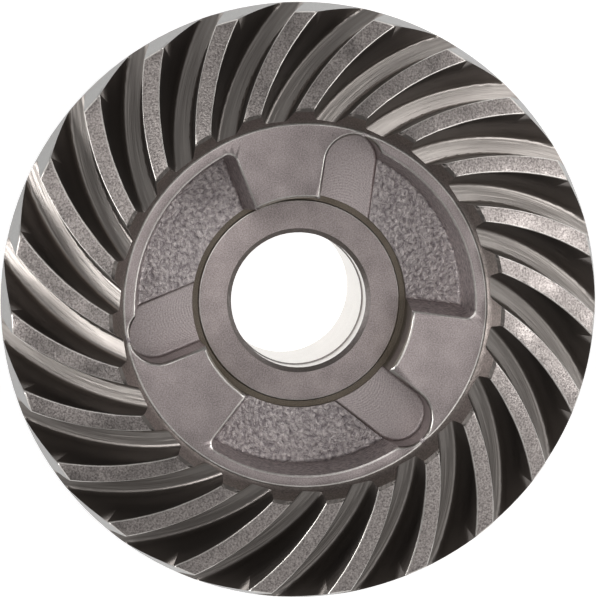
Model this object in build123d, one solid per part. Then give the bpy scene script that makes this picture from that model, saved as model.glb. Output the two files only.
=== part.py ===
from build123d import *
import os
from math import cos, degrees, hypot, radians, sin, sqrt, tan

# Spiral bevel gear with a three-jaw clutch hub, in millimetres and degrees.
# The origin is on the bore axis at the rear face, and +Z points out of the toothed side.

# --- Overall ---
outer_diameter = 90.0        # over the sharp rear edge of the rim
jaw_top = 39.0               # rear face to the flat tops of the clutch jaws
bore_diameter = 20.0
break_edge = 0.5             # general chamfer on turned edges

# --- Teeth ---
tooth_count = 23
tooth_phase = 4.8            # from the first jaw's driving face to the nearest tooth space
spiral_angle = 36.6          # at mid face, right-hand spiral
root_slope = 35.0            # how far the root cone falls outwards from a flat plane
whole_depth_heel = 6.2       # root to tip, square to the root cone, at the outer ends
whole_depth_toe = 3.3        # the same at the inner ends
toe_face_run = 2.1           # how far the inner tooth ends lean out from the hub disc
toe_break = 0.4              # chamfer on the inner corner of each tooth
heel_break = 0.2             # chamfer on the outer corner of each tooth
land_break = 0.15            # chamfer along both long edges of each land
rim_taper = 1.0              # how much smaller the rim is at the tooth tips than at its rear edge

# --- Face-mill cutter that makes the tooth spaces ---
cutter_radius = 44.45
blade_point_width = 2.8      # flat width of the bottom of a tooth space
inside_blade_angle = 19.5
outside_blade_angle = 15.5
blade_tip_radius = 0.6
blade_length = 12.0
cutter_sweep = 3.0           # how much of the cutter ring is modelled, in face widths of arc

# --- Clutch hub: flat-topped disc, inner ring and three jaws ---
disc_radius = 27.15
root_start = 1.03            # disc edge out to where the root cone is level with the jaw tops
jaw_count = 3
jaw_depth = 10.4             # jaw tops down to the inner ring
jaw_angle = 30.0             # driving face to the plane that the back wall is parallel to
jaw_back_offset = 1.37       # back wall from that plane
ring_radius = 15.25
ring_groove_width = 0.9      # ring to the inner walls of the jaws
ring_groove_depth = 0.6      # turned relief round the ring, below its top
ring_clearance = 0.1         # milling cuts to the wall of the ring
slot_width = 8.7             # end-milled along each driving face
slot_wall = 0.37             # thinnest wall between the slot's round end and the disc edge
slot_floor_radius = 0.5
slot_break = 0.45
pocket_wall = 1.5            # forged outer wall of the pocket to the disc edge
pocket_rise = 0.5            # rough pocket floor above the milled slot floor
pocket_draft = 7.0
pocket_corner_radius = 1.3
pocket_floor_radius = 0.7
pocket_break = 0.25

# --- Bore ---
counterbore_step = 0.2       # radial relief at the front of the bore
counterbore_depth = 6.0
bore_mouth_chamfer = 0.7

# --- Rear side: bearing journal, thrust shoulder and back cone ---
journal_diameter = 38.0
journal_length = 15.0
journal_chamfer = 1.0
relief_width = 2.0           # grinding relief where the journal meets the shoulder
relief_depth = 0.4
shoulder_diameter = 50.0
shoulder_height = 3.0
shoulder_fillet = 2.5
rim_back_width = 4.0         # flat turned land at the back of the rim
rim_lip = 0.1                # rim left below a tooth space where it runs out

outer_radius = outer_diameter / 2
bore_radius = bore_diameter / 2
journal_radius = journal_diameter / 2
shoulder_radius = shoulder_diameter / 2
ring_top = jaw_top - jaw_depth
jaw_inner_radius = ring_radius + ring_groove_width
slot_radius = slot_width / 2
slot_reach = sqrt((disc_radius - slot_wall - slot_radius) ** 2 - slot_radius**2)
pocket_radius = disc_radius - pocket_wall
overcut = 1.0                # how far a cutting shape passes a surface that it opens


def root_height(radius):
    """Height of the root cone, which just clears the edge of the hub disc."""
    return jaw_top - (radius - disc_radius - root_start) * tan(radians(root_slope))


def tip_height(radius, whole_depth):
    """Height of a tooth tip that stands whole_depth above the root cone."""
    return root_height(radius) + whole_depth / cos(radians(root_slope))


heel_radius = outer_radius - rim_taper
toe_radius = disc_radius + break_edge / 2 + toe_face_run
heel_tip = (heel_radius, tip_height(heel_radius, whole_depth_heel))
toe_tip = (toe_radius, tip_height(toe_radius, whole_depth_toe))
rim_back = root_height(outer_radius) - rim_lip
face_width = (heel_radius - toe_radius) / cos(radians(root_slope))
cutter_arc = degrees(cutter_sweep * face_width / cutter_radius)


def corners(profile, points):
    """The vertices of a profile that lie nearest to the given points."""
    return [profile.vertices().sort_by_distance((r, z))[0] for r, z in points]


def hub_and_disc():
    """Front profile from the bore mouth to the foot of the teeth."""
    groove_floor = ring_top - ring_groove_depth
    return [
        (bore_radius + counterbore_step, ring_top - counterbore_depth),
        (bore_radius + counterbore_step, ring_top),
        (ring_radius, ring_top),
        (ring_radius, groove_floor),
        (jaw_inner_radius, groove_floor),
        (jaw_inner_radius, jaw_top),
        (disc_radius, jaw_top),
        (disc_radius + break_edge / 2, jaw_top - break_edge / 2),
    ]


def tooth_ring():
    """Outside profile of the toothed rim, from toe tip to the back of the rim."""
    return [
        toe_tip,
        heel_tip,
        (outer_radius, rim_back + break_edge),
        (outer_radius - break_edge, rim_back),
        (outer_radius - rim_back_width, rim_back),
    ]


def rear_hub():
    """Rear profile: back cone, thrust shoulder, bearing journal and rear face."""
    return [
        (shoulder_radius, journal_length + shoulder_height),
        (shoulder_radius, journal_length),
        (journal_radius - relief_depth, journal_length),
        (journal_radius - relief_depth, journal_length - relief_width),
        (journal_radius, journal_length - relief_width - relief_depth),
        (journal_radius, 0),
        (bore_radius, 0),
        (bore_radius, ring_top - counterbore_depth),
    ]


def blank():
    """Turned forging: all that is round before teeth and jaws are cut."""
    outline = Polyline(*hub_and_disc(), *tooth_ring(), *rear_hub(), close=True)
    profile = make_face(outline)
    shoulder_root = (shoulder_radius, journal_length + shoulder_height)
    profile = fillet(corners(profile, [shoulder_root]), shoulder_fillet)
    profile = chamfer(corners(profile, [toe_tip]), toe_break)
    profile = chamfer(corners(profile, [heel_tip]), heel_break)
    profile = chamfer(corners(profile, [(journal_radius, 0)]), journal_chamfer)
    bore_mouth = (bore_radius + counterbore_step, ring_top)
    profile = chamfer(corners(profile, [bore_mouth]), bore_mouth_chamfer)
    turned = [(bore_radius, 0), (ring_radius, ring_top), (shoulder_radius, journal_length)]
    profile = chamfer(corners(profile, turned), break_edge / 2)
    profile = chamfer(corners(profile, [(jaw_inner_radius, jaw_top)]), break_edge)
    return revolve(Plane.XZ * profile, Axis.Z)


def cutter_ring():
    """Arc of the face-mill cutter: a revolved blade with straight sides and round tips."""
    half = blade_point_width / 2
    inside = half + blade_length * tan(radians(inside_blade_angle))
    outside = half + blade_length * tan(radians(outside_blade_angle))
    tips = [(cutter_radius - half, 0), (cutter_radius + half, 0)]
    tops = [(cutter_radius + outside, blade_length), (cutter_radius - inside, blade_length)]
    blade = make_face(Polyline(*tips, *tops, close=True))
    blade = fillet(corners(blade, tips), blade_tip_radius)
    return revolve(Plane.XZ * blade, Axis.Z, revolution_arc=cutter_arc)


def tooth_space():
    """The cutter ring set on the root cone, where it sweeps one space from toe to heel."""
    slope = radians(root_slope)
    apex = Vector(0, 0, root_height(0))
    root_plane = Plane(apex, x_dir=(cos(slope), 0, -sin(slope)), z_dir=(sin(slope), 0, cos(slope)))
    mid_face = (toe_radius + heel_radius) / 2 / cos(slope)
    spiral = radians(spiral_angle)
    centre = Pos(mid_face - cutter_radius * sin(spiral), -cutter_radius * cos(spiral))
    turn = Rot(0, 0, 90 - spiral_angle - cutter_arc / 2)
    return root_plane.location * centre * turn * cutter_ring()


def slot_shape():
    """Plan of the end-milled slot beside a driving face, clear of the inner ring."""
    straight = Pos(slot_reach / 2, -slot_radius) * Rectangle(slot_reach, slot_width)
    end = Pos(slot_reach, -slot_radius) * Circle(slot_radius)
    return straight + end - Circle(ring_radius + ring_clearance)


def pocket_shape():
    """Plan of the forged pocket, from the middle of a slot to the next jaw's back wall."""
    size = 2 * pocket_radius
    next_jaw = Rot(0, 0, jaw_angle - 360 / jaw_count)
    past_back_wall = next_jaw * Pos(size / 2, jaw_back_offset + size / 2) * Rectangle(size, size)
    past_slot_centre = Pos(0, -slot_radius - size / 2) * Rectangle(2 * size, size)
    plan = Circle(pocket_radius) & past_back_wall & past_slot_centre
    back_corner = (next_jaw * Pos(pocket_radius, jaw_back_offset)).position
    return fillet(corners(plan, [(back_corner.X, back_corner.Y)]), pocket_corner_radius)


def mouth(plan, width):
    """45 degree break round the top edge of an opening of this plan."""
    reach = width + overcut / 2
    top = Pos(0, 0, jaw_top + overcut / 2) * offset(plan, reach)
    return extrude(top, -reach, taper=45)


def slot():
    """Milled slot, with the end mill's corner radius round its floor."""
    cut = extrude(Pos(0, 0, ring_top) * slot_shape(), jaw_depth + overcut)
    floor_edges = cut.edges().group_by(Axis.Z)[0]
    return fillet(floor_edges, slot_floor_radius) + mouth(slot_shape(), slot_break)


def pocket():
    """Forged pocket with drafted walls and a rounded foot."""
    cut = extrude(Pos(0, 0, jaw_top) * pocket_shape(), pocket_rise - jaw_depth, taper=pocket_draft)
    floor_edges = cut.edges().group_by(Axis.Z)[0]
    return fillet(floor_edges, pocket_floor_radius) + mouth(pocket_shape(), pocket_break)


def around(count, start, shape):
    """Copies of a shape, evenly spaced about the bore axis."""
    return [Rot(0, 0, start + i * 360 / count) * shape for i in range(count)]


def is_land(face):
    """Whether a face is the top of a tooth, so that all its corners lie on the tip cone."""
    (toe, toe_height), (heel, heel_height) = toe_tip, heel_tip
    fall = (toe_height - heel_height) / (heel - toe)
    above = [v.Z - toe_height + (hypot(v.X, v.Y) - toe) * fall for v in face.vertices()]
    return face.geom_type == GeomType.CONE and max(map(abs, above)) < land_break / 10


def bevel_gear():
    """The finished gear: turned blank, milled teeth, forged pockets and milled slots."""
    gear = blank()
    gear -= around(jaw_count, 0, slot())
    gear -= around(jaw_count, 0, pocket())
    gear -= around(tooth_count, tooth_phase, tooth_space())
    lands = gear.faces().filter_by(is_land)
    long_edges = lands.edges().filter_by(GeomType.CIRCLE, reverse=True)
    return chamfer(long_edges, land_break)


os.makedirs("parts", exist_ok=True)
export_step(bevel_gear(), "parts/bevel_gear.step")
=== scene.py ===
from math import atan2, cos, hypot, pi, radians, sin, tan

import bpy
from mathutils import Matrix, Vector


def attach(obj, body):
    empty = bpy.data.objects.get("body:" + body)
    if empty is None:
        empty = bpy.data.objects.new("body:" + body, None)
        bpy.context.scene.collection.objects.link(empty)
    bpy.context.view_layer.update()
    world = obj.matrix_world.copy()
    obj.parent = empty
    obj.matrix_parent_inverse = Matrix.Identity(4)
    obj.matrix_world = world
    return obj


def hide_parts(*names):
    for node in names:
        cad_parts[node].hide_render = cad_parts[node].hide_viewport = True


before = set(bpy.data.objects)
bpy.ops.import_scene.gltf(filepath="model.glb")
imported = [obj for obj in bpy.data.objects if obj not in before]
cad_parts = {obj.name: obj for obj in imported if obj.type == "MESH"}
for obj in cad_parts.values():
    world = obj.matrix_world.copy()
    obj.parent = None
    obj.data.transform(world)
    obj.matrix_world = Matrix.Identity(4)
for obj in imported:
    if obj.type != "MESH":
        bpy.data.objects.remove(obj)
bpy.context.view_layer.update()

# --- Sizes of the gear in millimetres, as its solid has them; the mesh is in metres ---
MM = 0.001
JAW_TOP = 39.0
RING_TOP = 28.6
BORE = 10.0
COUNTERBORE = 10.2
RING = 15.25
JAW_INNER = 16.15
DISC = 27.15
JOURNAL = 19.0
SHOULDER_FACE = 15.0
SHOULDER = 25.0
OUTER = 45.0
RIM_BACK = 27.6
TOE_TIP = (29.5, 42.104)
HEEL_TIP = (44.0, 35.492)
TOE_FOOT = (27.4, 38.75)
ROOT_START = 28.18
ROOT_SLOPE = radians(35.0)
TEETH = 23
TOOTH_PHASE = 4.8
SPIRAL = radians(36.6)
CUTTER = 44.45
JAWS = 3
SLOT_WIDTH = 8.7
SLOT_REACH = 22.01
SLOT_FLOOR_RADIUS = 0.5
LAND_BREAK = 0.35        # how far the chamfers round a land reach below it
NEAR = 0.015             # how near a corner lies to the surface that it belongs to


# --- Where a point lies along the cuts ---

def turned_back_by(point, angle):
    """The point as it would be if the gear were turned back by this angle."""
    return (
        point.x * cos(angle) + point.y * sin(angle),
        point.y * cos(angle) - point.x * sin(angle),
    )


def slot_mark(point, jaw):
    """Millimetres along a milled slot and across it from its middle line."""
    along, side = turned_back_by(point, 2 * pi / JAWS * jaw)
    return along, side + SLOT_WIDTH / 2


def outside_slot(point, jaw):
    """How far a point is from the spine of a slot."""
    along, across = slot_mark(point, jaw)
    if along < 0:
        return OUTER
    return hypot(max(along - SLOT_REACH, 0), across)


def space_mark(point, tooth):
    """Millimetres along a tooth space and across it from the middle of the cut."""
    apex = JAW_TOP + ROOT_START * tan(ROOT_SLOPE)
    mid_face = (TOE_TIP[0] + HEEL_TIP[0]) / 2 / cos(ROOT_SLOPE)
    level, side = turned_back_by(point, radians(TOOTH_PHASE) + 2 * pi / TEETH * tooth)
    if level < 0:
        return 0, OUTER
    down_cone = level * cos(ROOT_SLOPE) - (point.z - apex) * sin(ROOT_SLOPE)
    reach = down_cone - mid_face + CUTTER * sin(SPIRAL)
    side += CUTTER * cos(SPIRAL)
    return atan2(reach, side) * CUTTER, hypot(reach, side) - CUTTER


# --- Which finish each face has ---

def off_line(point, start, end):
    """Distance of a point of the profile from the straight line through two others."""
    run, rise = end[0] - start[0], end[1] - start[1]
    return abs((point[0] - start[0]) * rise - (point[1] - start[1]) * run) / hypot(run, rise)


def toothed_finish(profile):
    """Finish of a face of the teeth."""
    for name, start, end in (
        ("tooth_land", TOE_TIP, HEEL_TIP),
        ("toe_face", TOE_FOOT, TOE_TIP),
        ("heel_face", HEEL_TIP, (OUTER, RIM_BACK)),
    ):
        if max(off_line(p, start, end) for p in profile) < NEAR:
            return name
    # Faces just below the land edges take the edge_break finish, whose light colour is a painted
    # highlight.
    depth = max(off_line(p, TOE_TIP, HEEL_TIP) for p in profile)
    return "edge_break" if depth < LAND_BREAK else "tooth_space"


def hub_finish(profile, middle, normal):
    """Finish of a face of the disc, jaws, slots, pockets and inner ring."""
    farthest = max(p[0] for p in profile)
    highest = max(p[1] for p in profile)
    if highest - min(p[1] for p in profile) < NEAR:
        if highest > JAW_TOP - NEAR:
            return "jaw_top"
        if farthest < RING:
            return "ring_top"
        if farthest < JAW_INNER + NEAR:
            return "ring_groove"
        if highest < RING_TOP + NEAR:
            return "milled_slot"
    if highest > JAW_TOP - NEAR and normal.z > 0.4:
        return "edge_break"
    # Faces round the ring and up to the jaws' inner walls take the ring_groove finish, whose very
    # dark colour is painted shade in the groove.
    if farthest < RING + NEAR:
        return "edge_break" if normal.z > 0.4 else "ring_groove"
    if farthest < JAW_INNER + NEAR:
        return "ring_groove"
    beyond = min(outside_slot(middle, jaw) for jaw in range(JAWS)) - SLOT_WIDTH / 2
    in_slot_foot = beyond < NEAR and highest < RING_TOP + SLOT_FLOOR_RADIUS + NEAR
    return "milled_slot" if abs(normal.z) < 0.03 or in_slot_foot else "forged_pocket"


def rear_finish(profile, middle, normal):
    """Finish of a face of the bore, the bearing journal, the shoulder and the back."""
    farthest = max(p[0] for p in profile)
    if abs(normal.z) < 0.03:
        if farthest < COUNTERBORE + NEAR:
            return "bore_wall"
        if abs(farthest - JOURNAL) < NEAR:
            return "ground_journal"
    if abs(middle.z - SHOULDER_FACE) < NEAR and farthest < SHOULDER:
        return "ground_journal"
    return "turned_back"


def finish_of(corners, middle, normal):
    profile = [(hypot(c.x, c.y), c.z) for c in corners]
    nearest = min(p[0] for p in profile)
    farthest = max(p[0] for p in profile)
    lowest = min(p[1] for p in profile)
    if nearest > BORE + 0.3 and farthest < TOE_FOOT[0] + NEAR and lowest > RING_TOP - 1:
        return hub_finish(profile, middle, normal)
    if nearest > DISC and lowest > RIM_BACK - NEAR - 0.5 and normal.z > -0.3:
        return toothed_finish(profile)
    return rear_finish(profile, middle, normal)


# --- Nodes ---

def place(tree, kind, inputs=None, **settings):
    """A node of this kind, with its settings, and its inputs given as numbers or as sockets."""
    node = tree.nodes.new("ShaderNode" + kind)
    for key, value in settings.items():
        setattr(node, key, value)
    for key, value in (inputs or {}).items():
        if isinstance(value, bpy.types.NodeSocket):
            tree.links.new(value, node.inputs[key])
        else:
            node.inputs[key].default_value = value
    return node


def calculate(tree, operation, *values):
    node = place(tree, "Math", dict(enumerate(values)), operation=operation)
    return node.outputs[0]


def spread(tree, value, low, high, new_low=0.0, new_high=1.0):
    """The value stretched from one range to another and held inside it."""
    inputs = {"Value": value, "From Min": low, "From Max": high,
              "To Min": new_low, "To Max": new_high}
    return place(tree, "MapRange", inputs).outputs["Result"]


def blend_colours(tree, share, first, second):
    node = place(tree, "Mix", data_type="RGBA")
    for socket, value in ((0, share), (6, first), (7, second)):
        if isinstance(value, bpy.types.NodeSocket):
            tree.links.new(value, node.inputs[socket])
        else:
            node.inputs[socket].default_value = value
    return node.outputs[2]


def effect(name, inputs, outputs):
    """An empty node group with float or vector inputs, and float outputs."""
    tree = bpy.data.node_groups.new(name, "ShaderNodeTree")
    for label, start in inputs.items():
        kind = "NodeSocketVector" if start is None else "NodeSocketFloat"
        socket = tree.interface.new_socket(label, in_out="INPUT", socket_type=kind)
        if start is not None:
            socket.default_value = start
    for label in outputs:
        tree.interface.new_socket(label, in_out="OUTPUT", socket_type="NodeSocketFloat")
    entry = tree.nodes.new("NodeGroupInput")
    result = tree.nodes.new("NodeGroupOutput")
    return tree, entry.outputs, result.inputs


def grain_effect():
    """Fine blasted grain: a speckle of one size, and slow clouds over it."""
    tree, given, result = effect(
        "fine_grain", {"Position": None, "Size": 0.25}, ("Speckle", "Clouds"))
    scale = calculate(tree, "DIVIDE", 1000.0, given["Size"])
    fine = place(tree, "TexNoise", {"Vector": given["Position"], "Scale": scale,
                                    "Detail": 2.0, "Roughness": 0.6})
    slow = calculate(tree, "MULTIPLY", scale, 0.06)
    clouds = place(tree, "TexNoise", {"Vector": given["Position"], "Scale": slow, "Detail": 3.0})
    tree.links.new(spread(tree, fine.outputs["Fac"], 0.3, 0.7), result["Speckle"])
    tree.links.new(spread(tree, clouds.outputs["Fac"], 0.3, 0.7), result["Clouds"])
    return tree


def turning_effect():
    """Rings left by a turning tool: uneven lines that run round the bore axis."""
    tree, given, result = effect("turning_rings", {"Position": None, "Pitch": 0.2}, ("Rings",))
    flat = place(tree, "VectorMath", {0: given["Position"], 1: (1000.0, 1000.0, 0.0)},
                 operation="MULTIPLY")
    radius = place(tree, "VectorMath", {0: flat.outputs[0]}, operation="LENGTH").outputs["Value"]
    height = place(tree, "SeparateXYZ", {0: given["Position"]}).outputs["Z"]
    height = calculate(tree, "MULTIPLY", height, 1000.0)
    distance = calculate(tree, "DIVIDE", calculate(tree, "ADD", radius, height), given["Pitch"])
    lines = place(tree, "TexNoise", {"W": distance, "Scale": 1.0, "Detail": 3.0},
                  noise_dimensions="1D")
    tree.links.new(spread(tree, lines.outputs["Fac"], 0.25, 0.75), result["Rings"])
    return tree


def cutter_effect():
    """Drag lines of the gear cutter, which follow the curve of a tooth space, and a Root mask, 1
    along the root and 0 up the flanks, that carries painted shade on the flanks.
    """
    tree, given, result = effect(
        "cutter_lines", {"Along": 0.0, "Across": 0.0, "Width": 0.12}, ("Lines", "Root"))
    across = calculate(tree, "DIVIDE", given["Across"], given["Width"])
    along = calculate(tree, "DIVIDE", given["Along"], 14.0)
    vector = place(tree, "CombineXYZ", {"X": along, "Y": across})
    lines = place(tree, "TexNoise", {"Vector": vector.outputs[0], "Scale": 1.0, "Detail": 2.0})
    tree.links.new(spread(tree, lines.outputs["Fac"], 0.3, 0.7), result["Lines"])
    side = calculate(tree, "ABSOLUTE", given["Across"])
    # Root is 1 in the middle of the space and falls to 0 up the flanks; the darkness it gives the
    # flanks is painted shade.
    tree.links.new(spread(tree, side, 1.25, 1.7, 1.0, 0.0), result["Root"])
    return tree


def mill_effect():
    """Arcs that an end mill leaves on a slot floor as it feeds along."""
    tree, given, result = effect(
        "mill_arcs",
        {"Along": 0.0, "Across": 0.0, "Radius": SLOT_WIDTH / 2, "Feed": 0.43},
        ("Arcs", "Inner"),
    )
    radius_squared = calculate(tree, "MULTIPLY", given["Radius"], given["Radius"])
    across_squared = calculate(tree, "MULTIPLY", given["Across"], given["Across"])
    squares = calculate(tree, "SUBTRACT", radius_squared, across_squared)
    bow = calculate(tree, "SQRT", calculate(tree, "MAXIMUM", squares, 0.0))
    front = calculate(tree, "SUBTRACT", given["Along"], bow)
    turns = calculate(tree, "MULTIPLY", calculate(tree, "DIVIDE", front, given["Feed"]), 2 * pi)
    wave = calculate(tree, "SINE", turns)
    tree.links.new(spread(tree, wave, -1.0, 1.0), result["Arcs"])
    tree.links.new(spread(tree, given["Along"], 24.0, 17.0), result["Inner"])
    return tree


def forging_effect():
    """Pitted scale of a forged face: rounded bumps with dark hollows between them."""
    tree, given, result = effect(
        "forged_skin", {"Position": None, "Size": 0.6}, ("Height", "Hollows"))
    scale = calculate(tree, "DIVIDE", 1000.0, given["Size"])
    warp = place(tree, "TexNoise", {"Vector": given["Position"], "Scale": scale, "Detail": 3.0,
                                    "Roughness": 0.65, "Distortion": 0.6})
    cells = place(tree, "TexVoronoi", {"Vector": given["Position"], "Scale": scale,
                                       "Smoothness": 0.6}, feature="SMOOTH_F1")
    height = calculate(tree, "SUBTRACT", warp.outputs["Fac"],
                       calculate(tree, "MULTIPLY", cells.outputs["Distance"], 0.35))
    tree.links.new(height, result["Height"])
    tree.links.new(spread(tree, height, 0.12, 0.5), result["Hollows"])
    return tree


EFFECTS = {
    "grain": grain_effect(),
    "turning": turning_effect(),
    "cutter": cutter_effect(),
    "mill": mill_effect(),
    "forging": forging_effect(),
}


ACROSS_THE_RINGS = 0.25      # a quarter turn of the tangent, which itself runs round the axis


class Finish:
    """A material with its position and cut map ready, for the finishes below to build on."""

    def __init__(self, name, roughness, anisotropy=0.0, metallic=1.0):
        self.material = bpy.data.materials.new(name)
        self.material.use_nodes = True
        self.tree = self.material.node_tree
        self.shader = self.tree.nodes["Principled BSDF"]
        self.shader.inputs["Metallic"].default_value = metallic
        self.shader.inputs["Roughness"].default_value = roughness
        self.shader.inputs["Anisotropic"].default_value = anisotropy
        self.position = place(self.tree, "TexCoord").outputs["Object"]
        if anisotropy:
            self.shader.inputs["Anisotropic Rotation"].default_value = ACROSS_THE_RINGS
            tangent = place(self.tree, "Tangent", direction_type="RADIAL", axis="Z")
            self.link(tangent.outputs[0], "Tangent")

    def link(self, value, socket):
        self.tree.links.new(value, self.shader.inputs[socket])

    def use(self, name, **values):
        """Outputs of one of the shared effects, placed with its own values."""
        node = self.tree.nodes.new("ShaderNodeGroup")
        node.node_tree = EFFECTS[name]
        if "Position" in node.inputs:
            values["Position"] = self.position
        for key, value in values.items():
            if isinstance(value, bpy.types.NodeSocket):
                self.tree.links.new(value, node.inputs[key])
            else:
                node.inputs[key].default_value = value
        return node.outputs

    def along_cut(self):
        """Millimetres along and across the cut that the face belongs to."""
        cut = place(self.tree, "UVMap", uv_map="along_cut")
        parts = place(self.tree, "SeparateXYZ", {0: cut.outputs["UV"]})
        return {"Along": parts.outputs["X"], "Across": parts.outputs["Y"]}

    def colour(self, share, dark, light):
        mixed = blend_colours(self.tree, share, (*dark, 1), (*light, 1))
        self.link(mixed, "Base Color")
        return mixed

    def bumps(self, *layers):
        """Bump layers one over another, each a height socket and its depth in millimetres."""
        under = None
        for height, depth in layers:
            inputs = {"Height": height, "Strength": 1.0, "Distance": depth * MM}
            if under is not None:
                inputs["Normal"] = under
            under = place(self.tree, "Bump", inputs).outputs["Normal"]
        self.link(under, "Normal")


def satin_turned(name, dark, light, roughness, anisotropy, pitch, grain=0.2, depth=0.004):
    """Turned steel under a fine grain, as on the disc, the ring and the back."""
    finish = Finish(name, roughness, anisotropy)
    speckle = finish.use("grain", Size=grain)
    rings = finish.use("turning", Pitch=pitch)["Rings"]
    fine = calculate(finish.tree, "MULTIPLY", speckle["Speckle"], 0.7)
    broad = calculate(finish.tree, "MULTIPLY", speckle["Clouds"], 0.3)
    share = calculate(finish.tree, "ADD", fine, broad)
    finish.colour(share, dark, light)
    finish.bumps((rings, depth), (speckle["Speckle"], depth * 2))
    return finish.material


def milled_slot():
    """End-milled slot: satin like the disc, with the mill's arcs on its inner half."""
    finish = Finish("milled_slot", 0.42)
    speckle = finish.use("grain", Size=0.22)
    cut = finish.along_cut()
    arcs = finish.use("mill", **cut)
    shown = calculate(finish.tree, "MULTIPLY", arcs["Arcs"], arcs["Inner"])
    fine = calculate(finish.tree, "MULTIPLY", speckle["Speckle"], 0.75)
    marks = calculate(finish.tree, "MULTIPLY", shown, 0.3)
    share = calculate(finish.tree, "ADD", fine, marks)
    finish.colour(share, (0.28, 0.245, 0.24), (0.6, 0.525, 0.52))
    finish.bumps((shown, 0.008), (speckle["Speckle"], 0.012))
    return finish.material


def forged_pocket():
    """Rough forged skin at the bottom and sides of the pockets."""
    finish = Finish("forged_pocket", 0.38)
    skin = finish.use("forging", Size=0.62)
    fine = finish.use("forging", Size=0.32)
    finish.colour(skin["Hollows"], (0.26, 0.228, 0.235), (0.65, 0.59, 0.58))
    finish.bumps((skin["Height"], 0.3), (fine["Height"], 0.1))
    return finish.material


def tooth_land():
    """Tops of the teeth: fine grain, with patches rubbed smoother."""
    finish = Finish("tooth_land", 0.4)
    speckle = finish.use("grain", Size=0.3)
    finish.colour(speckle["Speckle"], (0.17, 0.15, 0.145), (0.52, 0.47, 0.445))
    rubbed = spread(finish.tree, speckle["Clouds"], 0.2, 0.8, 0.46, 0.3)
    finish.link(rubbed, "Roughness")
    finish.bumps((speckle["Speckle"], 0.02))
    return finish.material


def tooth_space():
    """Cut flanks and root of the teeth, with the cutter's drag lines along them; the flanks are
    coloured darker than the root as painted shade.
    """
    finish = Finish("tooth_space", 0.34)
    cut = finish.along_cut()
    lines = finish.use("cutter", Width=0.16, **cut)
    broad = finish.use("cutter", Width=0.55, **cut)["Lines"]
    # The dark colour on the flanks, set by the Root mask, is painted shade; the drag lines are the
    # cut's own marks.
    share = calculate(finish.tree, "MULTIPLY", lines["Root"],
                      spread(finish.tree, broad, 0.0, 1.0, 0.55, 1.0))
    finish.colour(share, (0.15, 0.135, 0.125), (0.41, 0.375, 0.35))
    finish.bumps((lines["Lines"], 0.008), (broad, 0.03))
    return finish.material


def plain_steel(name, dark, light, roughness, grain=0.3, depth=0.006):
    """Steel with only a light grain, for the small faces and the ends of the teeth."""
    finish = Finish(name, roughness)
    speckle = finish.use("grain", Size=grain)
    finish.colour(speckle["Speckle"], dark, light)
    finish.bumps((speckle["Speckle"], depth))
    return finish.material


FINISHES = {
    "jaw_top": satin_turned("jaw_top", (0.22, 0.19, 0.185), (0.52, 0.45, 0.445), 0.42, 0.6, 0.25),
    "ring_top": satin_turned("ring_top", (0.21, 0.18, 0.175), (0.54, 0.465, 0.455), 0.4, 0.6, 0.2),
    # The ring groove's very dark brown colours are painted shade, standing in for the shadow in
    # the groove between the ring and the jaws.
    "ring_groove": satin_turned(
        "ring_groove", (0.08, 0.065, 0.05), (0.16, 0.135, 0.11), 0.3, 0.0, 0.15),
    "milled_slot": milled_slot(),
    "forged_pocket": forged_pocket(),
    # The edge breaks' light base colours are a painted highlight along the chamfered edges; their
    # lower roughness is the tumbled finish.
    "edge_break": plain_steel("edge_break", (0.5, 0.47, 0.44), (0.66, 0.63, 0.6), 0.3),
    "tooth_land": tooth_land(),
    "tooth_space": tooth_space(),
    "toe_face": plain_steel("toe_face", (0.18, 0.157, 0.145), (0.32, 0.28, 0.26), 0.42),
    "heel_face": plain_steel("heel_face", (0.25, 0.245, 0.24), (0.32, 0.315, 0.305), 0.38),
    "bore_wall": satin_turned("bore_wall", (0.6, 0.57, 0.53), (0.74, 0.71, 0.67), 0.28, 0.0, 0.12),
    "ground_journal": satin_turned(
        "ground_journal", (0.5, 0.485, 0.475), (0.6, 0.585, 0.575), 0.24, 0.5, 0.08, 0.15, 0.002),
    "turned_back": satin_turned(
        "turned_back", (0.3, 0.275, 0.265), (0.44, 0.405, 0.395), 0.38, 0.3, 0.4, 0.3, 0.012),
}


# --- The gear ---

def gear_piece():
    """The gear as one closed skin, with a finish for every face and a map along the cuts."""
    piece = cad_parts["bevel_gear"].copy()
    piece.data = piece.data.copy()
    piece.name = piece.data.name = "gear_skin"
    piece.parent = None
    bpy.context.scene.collection.objects.link(piece)
    bpy.ops.object.select_all(action="DESELECT")
    bpy.context.view_layer.objects.active = piece
    piece.select_set(True)
    bpy.ops.object.mode_set(mode="EDIT")
    bpy.ops.mesh.select_all(action="SELECT")
    bpy.ops.mesh.remove_doubles(threshold=1e-6)
    bpy.ops.object.mode_set(mode="OBJECT")
    bpy.ops.mesh.customdata_custom_splitnormals_clear()
    bpy.ops.object.shade_smooth_by_angle(angle=radians(24))
    finish_faces(piece.data)
    round_breaks(piece.data)
    weighted = piece.modifiers.new("even_normals", "WEIGHTED_NORMAL")
    weighted.keep_sharp = True
    bpy.ops.object.modifier_apply(modifier=weighted.name)
    return piece


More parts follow.
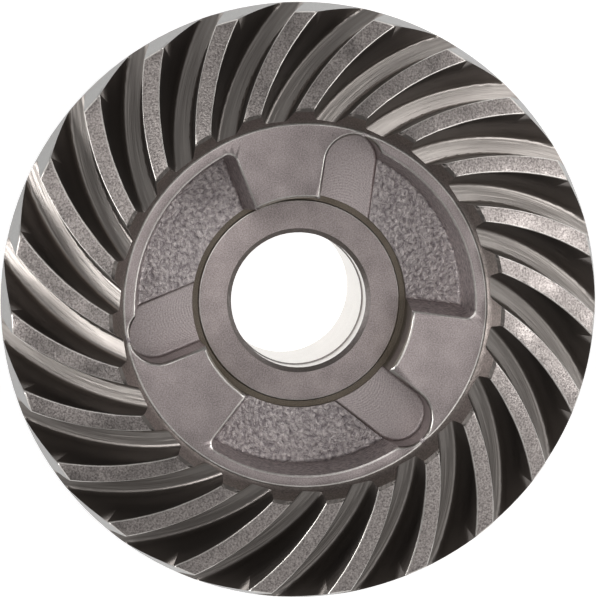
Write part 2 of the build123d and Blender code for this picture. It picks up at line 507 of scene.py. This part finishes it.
def finish_faces(mesh):
    """Gives every face its finish, and the cut faces their place along the cut."""
    names = list(FINISHES)
    mesh.materials.clear()
    for name in names:
        mesh.materials.append(FINISHES[name])
    cut_map = mesh.uv_layers.new(name="along_cut")
    places = [v.co / MM for v in mesh.vertices]
    for face in mesh.polygons:
        corners = [places[v] for v in face.vertices]
        middle = face.center / MM
        name = finish_of(corners, middle, face.normal)
        face.material_index = names.index(name)
        marks = [(c.x, c.y) for c in corners]
        if name == "milled_slot":
            jaw = min(range(JAWS), key=lambda i: outside_slot(middle, i))
            marks = [slot_mark(c, jaw) for c in corners]
        if name == "tooth_space":
            tooth = min(range(TEETH), key=lambda i: abs(space_mark(middle, i)[1]))
            marks = [space_mark(c, tooth) for c in corners]
        for loop, mark in zip(face.loop_indices, marks):
            cut_map.data[loop].uv = mark


def round_breaks(mesh):
    """Lets the light run over the corner breaks, which are tumbled round."""
    broken = list(FINISHES).index("edge_break")
    soft = {key for face in mesh.polygons if face.material_index == broken
            for key in face.edge_keys}
    for edge in mesh.edges:
        if edge.key in soft:
            edge.use_edge_sharp = False


gear = gear_piece()
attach(gear, "root")
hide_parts("bevel_gear")


# --- Floor, light and camera ---

def floor_material():
    """Pale matt floor that shows white in the open and keeps a soft shadow; a painted glow spot
    under the bore lights the floor seen through it.
    """
    material = bpy.data.materials.new("studio_floor")
    material.use_nodes = True
    tree = material.node_tree
    tree.nodes.clear()
    seen = place(tree, "LightPath").outputs
    direct = calculate(tree, "MAXIMUM", seen["Is Camera Ray"], seen["Is Glossy Ray"])
    direct = calculate(tree, "MAXIMUM", direct, seen["Is Transmission Ray"])
    cloth = place(tree, "TexNoise", {"Vector": place(tree, "TexCoord").outputs["Object"],
                                     "Scale": 3.0, "Detail": 2.0})
    tint = blend_colours(tree, cloth.outputs["Fac"], (0.8, 0.8, 0.8, 1), (0.84, 0.84, 0.84, 1))
    matt = place(tree, "BsdfDiffuse", {"Color": tint}).outputs[0]
    spot = place(tree, "VectorMath", {0: place(tree, "TexCoord").outputs["Object"]},
                 operation="LENGTH").outputs["Value"]
    # Painted light: the floor glows at full strength under the bore, where the gear shades it, and
    # at 0.55 in the open.
    level = spread(tree, spot, 0.015, 0.04, 1.0, 0.55)
    glow = place(tree, "Emission", {"Color": (1, 1, 1, 1),
                                    "Strength": calculate(tree, "MULTIPLY", direct, level)})
    both = place(tree, "AddShader", {0: matt, 1: glow.outputs[0]}).outputs[0]
    place(tree, "OutputMaterial", {"Surface": both})
    return material


def studio_floor():
    bpy.ops.mesh.primitive_plane_add(size=8, location=(0, 0, -0.0004))
    floor = bpy.context.object
    floor.name = "studio_floor"
    floor.data.materials.append(floor_material())


def soft_box(name, azimuth, elevation, width, height, power, colour=(1, 1, 1)):
    """A soft box 1.2 m from the gear: azimuth clockwise from the top of the view."""
    lamp = bpy.data.lights.new(name, "AREA")
    lamp.shape = "RECTANGLE"
    lamp.size, lamp.size_y = width, height
    lamp.energy = power
    lamp.color = colour
    towards = direction(azimuth, elevation)
    box = bpy.data.objects.new(name, lamp)
    box.location = Vector((0, 0, JAW_TOP * MM)) + LAMP_DISTANCE * towards
    box.rotation_euler = towards.to_track_quat("Z", "Y").to_euler()
    bpy.context.scene.collection.objects.link(box)


LAMP_DISTANCE = 1.2          # metres from the jaw tops to each lamp
VIEW_TURN = radians(7.9)     # how far the top of the view is turned from the first driving face


def direction(azimuth, elevation):
    """Unit vector at this azimuth, clockwise from the top of the view, and elevation."""
    around = VIEW_TURN - radians(azimuth)
    high = radians(elevation)
    return Vector((cos(around) * cos(high), sin(around) * cos(high), sin(high)))


def studio_world(strength):
    world = bpy.data.worlds.new("studio_room")
    world.use_nodes = True
    background = world.node_tree.nodes["Background"]
    background.inputs["Color"].default_value = (1, 1, 1, 1)
    background.inputs["Strength"].default_value = strength
    bpy.context.scene.world = world


def camera():
    """Long lens nearly square to the disc, leaning a little towards the upper left."""
    distance = 2.5
    view_width = 0.09004
    lean = radians(6.9)
    up = Vector((cos(VIEW_TURN), sin(VIEW_TURN), 0))
    right = Vector((sin(VIEW_TURN), -cos(VIEW_TURN), 0))
    leaning_to = 0.637 * up - 0.772 * right
    away = leaning_to * sin(lean) + Vector((0, 0, cos(lean)))
    away.normalize()
    turn = Vector((0, 0, 1)).rotation_difference(away)
    up, right = turn @ up, turn @ right
    off_centre = 0.833 * up - 1.02 * right
    aim = Vector((0, 0, JAW_TOP)) + off_centre
    lens = bpy.data.cameras.new("view")
    lens.sensor_width = 36
    lens.lens = 36 * distance / view_width
    lens.clip_end = 20
    eye = bpy.data.objects.new("view", lens)
    place_of_eye = Matrix((right, up, away)).transposed().to_4x4()
    place_of_eye.translation = aim * MM + distance * away
    eye.matrix_world = place_of_eye
    bpy.context.scene.collection.objects.link(eye)
    bpy.context.scene.camera = eye


studio_floor()
studio_world(0.24)
for name, azimuth, elevation, power in (
    ("soft_box_right", 88, 35, 4.2),
    ("soft_box_left", 270, 12, 7.4),
    ("soft_box_upper_left", 315, 60, 2.1),
    ("soft_box_upper_right", 45, 12, 2.4),
    ("soft_box_lower_right", 135, 35, 1.0),
    ("soft_box_bottom", 180, 35, 0.6),
    ("soft_box_top", 0, 89, 1.2),
):
    soft_box(name, azimuth, elevation, 0.7, 0.5, power)
camera()
bpy.context.scene.view_settings.view_transform = "Standard"
